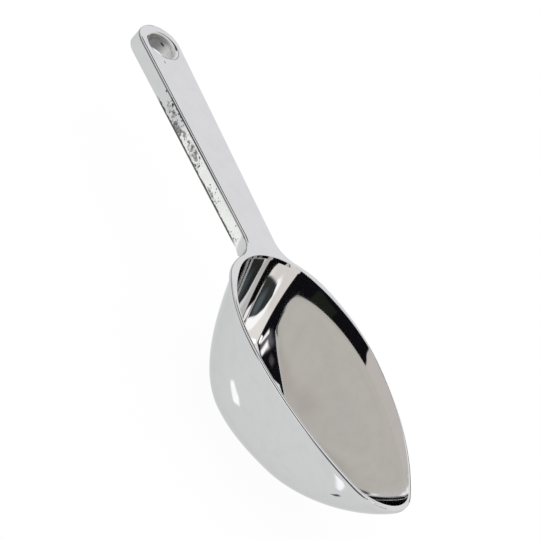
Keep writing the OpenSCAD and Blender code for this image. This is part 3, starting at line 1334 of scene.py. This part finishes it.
        # painted dark reflection along the upper edge, darker over one stretch
        high = self.band(self.below, self.film.line_top, (0.00068, 0.0006))
        high *= self.smooth(self.x, neck_x + blur, neck_x - blur)
        darker_stretch = self.smooth(self.frayed(self.x, 0.012), *darker_start) * self.smooth(self.x, *darker_end)
        return self.most(low * 0.92, high * (darker_stretch * 0.4 + 0.55))

    def painted_rim_line(self) -> Wire:
        """A painted dark reflection line along the outer edge of the lip towards the tip.

        Returns:
            The mask.
        """
        lip = lip_outline(self.plan)
        tip_x = lip.front - lip.tip_r
        side_r, turn = lip.flank(tip_x, lip.tip_r)
        joint = tip_x + lip.tip_r * math.cos(turn)
        inner, outer, blur = 0.0008, 0.00066, 0.0004
        # painted dark reflection line along the lip's outer edge
        side = self.smooth(self.apart(self.plan.belly_x, side_r - lip.half), side_r - inner, side_r - outer)
        tip = self.smooth(self.apart(tip_x), lip.tip_r - inner, lip.tip_r - outer)
        tip *= self.smooth(self.x, joint - blur, joint + blur)
        line = self.band(self.below, self.film.line_top, (0.00066, 0.00058))
        return self.most(side, tip) * line * self.band(self.x, self.film.lip_run, self.film.lip_end) * 0.85

    def nick(self) -> Wire:
        """A small nick on the top of the handle beside the hole."""
        place = (self.frayed(self.x, 0.0005), self.frayed(self.y, 0.0004))
        return self.film.nick_mark.mask(self, *place, crisp=0.6) * self.smooth(self.below, 0.0005, 0.0003)

    def end_wear(self) -> Wire:
        """The edge of the round end, rubbed at its left back corner.

        Returns:
            The mask.
        """
        eye_x, radius = self.plan.eye_x, self.plan.eye_r
        band = self.smooth(self.frayed(self.apart(eye_x), 0.002), radius - 0.0009, radius - 0.0003)
        corner = self.smooth(self.y * 0.5 - (self.x - eye_x) * 0.87, 0.0035, 0.0058)
        patchy = self.smooth(self.ragged, -0.12, 0.05)
        return band * corner * patchy * self.smooth(self.below, 0.0006, 0.0003) * 0.6

    def hole(self) -> tuple[Wire, Wire]:
        """Painted shade in the hanging hole: the film is made matte inside and dark at the back, with a
        painted dark reflection line on the left of the mouth.

        Returns:
            How matte the film is made inside the hole, and the painted shade and dark line there.
        """
        apart = self.apart(self.eye.bore_x)
        mouth = self.eye.bore / 2 + self.eye.flare
        inside = self.smooth(apart, mouth - 0.0001, mouth - 0.0005)
        inside *= self.smooth(self.below, 0.00005, 0.0004)
        # painted shade on the back wall of the hole
        shade = inside * self.smooth((self.x - self.eye.bore_x) / apart, -0.15, -0.95)
        # painted dark reflection line round the mouth, on the left
        line = self.band(apart, (mouth - 0.00034, mouth - 0.0002), (mouth, mouth - 0.0001))
        line *= self.smooth(self.y / apart, -0.1, 0.5) * self.smooth(self.below, 0.0014, 0.0007)
        return inside * 0.9, self.most(shade, line * 0.9)

    def slit(self) -> Wire:
        """A painted dark reflection: a small slanted dark slit on the wall of the hanging hole.

        Returns:
            The mask.
        """
        diagonal, slant = math.sqrt(0.5), 0.22
        ahead = self.x - (self.eye.bore_x - self.film.slit_offset)
        left = self.y - self.film.slit_offset
        along = (ahead + left) * diagonal
        apart = self.maths("ABSOLUTE", left - ahead) * diagonal
        mark = self.film.slit_mark.mask(self, along, self.below - along * slant, 0.5)
        return mark * self.smooth(apart, 0.0009, 0.0006)


def heading(azimuth: float, elevation: float) -> Vector:
    """The direction of an azimuth and an elevation.

    Args:
        azimuth: Angle from +X towards +Y in degrees.
        elevation: Angle above the floor in degrees.

    Returns:
        The direction, one long.
    """
    turn, rise = math.radians(azimuth), math.radians(elevation)
    return Vector((math.cos(rise) * math.cos(turn), math.cos(rise) * math.sin(turn), math.sin(rise)))


@dataclass(frozen=True)
class Panel:
    """One plain panel of the studio, as the silver mirrors it.

    Args:
        colour: Light of the panel, where 1 is white.
        corners: Its corners in order, as azimuth and elevation in degrees.
        soft: Angle over which its border fades, in degrees.
    """

    colour: Colour
    corners: tuple[Limits, ...]
    soft: float

    def mask(self, graph: Graph, towards: Wire) -> Wire:
        """The panel as a mask on all directions.

        Args:
            graph: Graph of the world.
            towards: The direction that is lit.

        Returns:
            The mask, 1 inside the panel.
        """
        corners = [heading(*corner) for corner in self.corners]
        middle = sum(corners, Vector((0, 0, 0)))
        limit = math.radians(self.soft) / 2
        sides = []
        for first, second in zip(corners, corners[1:] + corners[:1]):
            normal = first.cross(second).normalized()
            normal *= math.copysign(1, normal.dot(middle))
            sides.append(graph.smooth(graph.dot(towards, normal), -limit, limit))
        return reduce(mul, sides)


BLACK = (0.006, 0.006, 0.008)

PANELS = (
    # Warm ceiling and bright front, seen in the bowl
    Panel((1.04, 0.99, 0.9), ((18, 30), (60, 24), (108, 24), (112, 60), (60, 78), (15, 70)), 10),
    Panel((0.93, 0.87, 0.785), ((30, 49), (62, 52), (64, 75), (20, 75)), 12),
    Panel((1.1, 1.07, 1.02), ((-30, 2), (30, 2), (30, 46), (-12, 46)), 4),
    Panel((0.97, 0.92, 0.87), ((-32, -2), (22, -3), (4, 12), (-12, 20), (-24, 20)), 8),
    # White sheet with a dark card before it, seen in the back of the bowl
    Panel((1.43, 1.42, 1.41), ((-12, 9), (-5, 7), (34, 24), (34, 32), (12, 31), (-6, 22)), 3),
    Panel(
        (0.04, 0.042, 0.042),
        ((-8, 14), (-5.5, 9.5), (17, 5.5), (34, 6), (34, 22), (11, 23.5), (-1, 20)),
        1.5,
    ),
    Panel((0.11, 0.14, 0.15), ((6, 12), (17, 12), (24, 20), (20, 23), (11, 22)), 6),
    # Beige wall and bright strip beside the black cards
    Panel((0.72, 0.675, 0.635), ((-108, -3), (-108, 36), (-170, 30), (-170, -3)), 3),
    Panel((1.35, 1.33, 1.32), ((-117, -22), (-117, 3), (-90, 3), (-90, -22)), 3),
    Panel(BLACK, ((-124, 2), (-117, 15), (-84, 15), (-84, 2)), 1.5),
    Panel(BLACK, ((-118.4, 11), (-115.5, 36), (-84, 40), (-84, 9)), 1.5),
    Panel(BLACK, ((-88, -12), (-88, 45), (-60, 50), (-1, 50), (-36.7, -12)), 1.5),
    # Shade and small lights at the tip
    Panel((0.15, 0.14, 0.14), ((8, 48.4), (21, 48.6), (22, 56), (7, 56)), 1),
    Panel((1.8, 1.8, 1.8), ((8, 47.0), (19, 46.8), (19, 48.2), (8, 48.4)), 1.5),
    Panel((1.9, 1.87, 1.84), ((-5, 38.8), (19, 37.0), (19, 39.6), (4, 42.0), (-5, 42)), 1.2),
    # Faint patches and white strips on the black cards
    Panel((0.016, 0.018, 0.014), ((-80, 3), (-60, 3), (-60, 16), (-80, 16)), 2),
    Panel((0.1, 0.08, 0.08), ((-60, 33), (-53, 33), (-53, 40), (-60, 40)), 4),
    Panel((0.16, 0.16, 0.17), ((-52, 25), (-38, 24), (-22, 40), (-30, 46), (-40, 44)), 6),
    Panel((1.45, 1.42, 1.41), ((-48, 31.5), (-39, 30.5), (-28, 44), (-37, 46)), 4),
    Panel((1.4, 1.36, 1.36), ((-36.5, 26.5), (-32, 25.5), (-19.5, 38), (-22, 39.5)), 2.5),
    Panel((1.9, 1.9, 1.9), ((-22.5, 33.2), (-17.5, 33.2), (-14.8, 39), (-18, 40.5)), 1.5),
    # Dark and grey bands that draw the edges of the lip and the handle
    Panel((0.01, 0.01, 0.01), ((-137, -26), (-118, -26), (-118, 1), (-137, -1)), 2),
    Panel((0.2, 0.2, 0.2), ((-136, -25), (-136, -4), (-170, -7), (-208, -12), (-208, -25), (-170, -27)), 2),
    Panel(
        (0.03, 0.03, 0.03),
        ((118, 42), (150, 43), (182, 43), (200, 50), (182, 66), (150, 64), (118, 60)),
        3,
    ),
    Panel((0.04, 0.04, 0.04), ((107, -24), (107, 15), (121, 17), (122, -28)), 2),
    Panel((0.5, 0.5, 0.5), ((126.5, -26), (126.5, 9), (146, 9), (146, -26)), 2),
    # Two lamps and a dash, seen on the outside of the bowl
    Panel(
        (1.5, 1.5, 1.5),
        ((-155, -55), (-151.5, -54.8), (-149.6, -58.6), (-152.5, -61.2), (-158.5, -60.4)),
        1,
    ),
    Panel((1.42, 1.41, 1.46), ((-94.5, -65), (-86, -62), (-97, -73.8), (-105, -77), (-106.5, -76)), 1),
    Panel((0.12, 0.12, 0.12), ((-150, -83), (-119, -82.5), (-138, -87.2), (170, -86)), 0.7),
)


@dataclass
class Studio:
    """The plain white studio: floor, lamp, surroundings and camera.

    Args:
        plan: Shared sizes of the scoop.
        lens: Focal length in millimetres.
        sensor: Width of the camera's sensor in millimetres.
        sight: Distance up to which the camera sees.
        pixels_per_metre: Scale of the picture at the scoop.
        picture: Width and height of the picture in pixels.
        right: Direction that points to the right in the picture.
        down: Direction that points down in the picture.
        centre: Middle of the picture, along right and down from the rim plane's origin.
        floor_size: Length and width of the floor.
        floor_drop: Distance of the floor under the scoop.
        floor_glow: Share of the floor's light that no shadow takes away.
        lamp_height: Height of the lamp.
        lamp_size: Length and width of the lamp.
        lamp_power: Power of the lamp in watts.
        above: Light of the surroundings above the floor.
        under: Light of the surroundings under the floor's level.
        horizon: Limits of the step between these two.
    """

    plan: ScoopPlan
    lens: float = 1600.0
    sensor: float = 36.0
    sight: float = 100.0
    pixels_per_metre: float = 3968.7
    picture: float = 540.0
    right: Triple = (0.3608, 0.7374, 0.5710)
    down: Triple = (0.74579, 0.13951, -0.65141)
    centre: Limits = (-0.00053, 0.00173)
    floor_size: float = 4.0
    floor_drop: float = 0.0001
    floor_glow: float = 0.95
    lamp_height: float = 1.0
    lamp_size: float = 0.8
    lamp_power: float = 2.0
    above: Colour = (1.05, 1.05, 1.07)
    under: Colour = (0.91, 0.925, 0.92)
    horizon: Limits = (-0.3, -0.1)

    def build_camera(self) -> None:
        """Sets the camera up at the viewing angle."""
        right = Vector(self.right).normalized()
        down = Vector(self.down)
        down = (down - down.dot(right) * right).normalized()
        ahead = right.cross(down)
        bpy.ops.object.camera_add()
        camera = bpy.context.object
        camera.name = "camera"
        camera.data.lens = self.lens
        camera.data.sensor_width = self.sensor
        camera.data.clip_end = self.sight
        distance = self.lens / self.sensor * self.picture / self.pixels_per_metre
        target = self.plan.top_z * Z_AXIS + self.centre[0] * right + self.centre[1] * down
        matrix = Matrix((right, -down, -ahead)).transposed().to_4x4()
        matrix.translation = target - distance * ahead
        camera.matrix_world = matrix
        bpy.context.scene.camera = camera

    def build_floor(self) -> None:
        """Lays the floor, white with a faint shadow."""
        bpy.ops.object.select_all(action="DESELECT")
        bpy.ops.mesh.primitive_plane_add(size=self.floor_size, location=(0, 0, -self.floor_drop))
        floor = bpy.context.object
        floor.name = "floor"
        floor.visible_glossy = False
        material = bpy.data.materials.new("floor_white")
        material.use_nodes = True
        graph = Graph(material.node_tree)
        lit = graph.node("ShaderNodeBsdfDiffuse", Color=(0.9, 0.9, 0.9, 1))
        glow = graph.node("ShaderNodeEmission", Color=(1, 1, 1, 1), Strength=1.0)
        graph.node("ShaderNodeOutputMaterial", Surface=graph.blend(self.floor_glow, lit, glow))
        floor.data.materials.append(material)

    def build_lamp(self) -> None:
        """Hangs one large soft lamp over the scoop."""
        bpy.ops.object.light_add(type="AREA", location=(0, 0, self.lamp_height))
        lamp = bpy.context.object
        lamp.name = "soft_lamp"
        lamp.data.size = self.lamp_size
        lamp.data.energy = self.lamp_power
        lamp.visible_glossy = False

    def build_world(self) -> None:
        """Puts the plain bright surroundings up, with the panels that the silver mirrors."""
        world = bpy.data.worlds.new("studio")
        world.use_nodes = True
        bpy.context.scene.world = world
        graph = Graph(world.node_tree)
        towards = graph.out(graph.node("ShaderNodeTexCoord"), "Generated")
        light = graph.mix(graph.smooth(graph.dot(towards, Z_AXIS), *self.horizon), self.under, self.above)
        for panel in PANELS:
            light = graph.mix(panel.mask(graph, towards), light, panel.colour)
        mirrored = graph.out(graph.node("ShaderNodeLightPath"), "Is Glossy Ray")
        plain = graph.node("ShaderNodeBackground", Color=(1, 1, 1, 1), Strength=1.0)
        patterned = graph.node("ShaderNodeBackground", Color=light, Strength=1.0)
        graph.node("ShaderNodeOutputWorld", Surface=graph.blend(mirrored, plain, patterned))
        bpy.context.scene.view_settings.view_transform = "Standard"


def main() -> None:
    """Builds the scoop and the studio in order."""
    logging.basicConfig(level=logging.INFO, format="%(message)s")
    plan = ScoopPlan()
    handle = Handle(plan)
    eye = HangingEye(plan, handle)
    film = SilverFilm(eye).make()
    pieces = [
        (Bowl(plan).build(), ["bowl_shell"]),
        (LipAndNeck(plan).build(), ["bowl_rim", "neck_shoulder"]),
        (handle.build_deck(), ["handle_deck"]),
        (handle.build_wall(1), ["handle_left_wall", "neck_left_wall"]),
        (handle.build_wall(-1), ["handle_right_wall", "neck_right_wall"]),
        (eye.build(), ["hang_eye"]),
    ]
    for piece, nodes in pieces:
        piece.data.materials.clear()
        piece.data.materials.append(film)
        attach(piece, "root")
        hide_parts(*nodes)
        LOG.info("%s: %d faces, stands for %s", piece.name, len(piece.data.polygons), ", ".join(nodes))
    studio = Studio(plan)
    studio.build_camera()
    studio.build_floor()
    studio.build_lamp()
    studio.build_world()


if __name__ == "__main__":
    main()
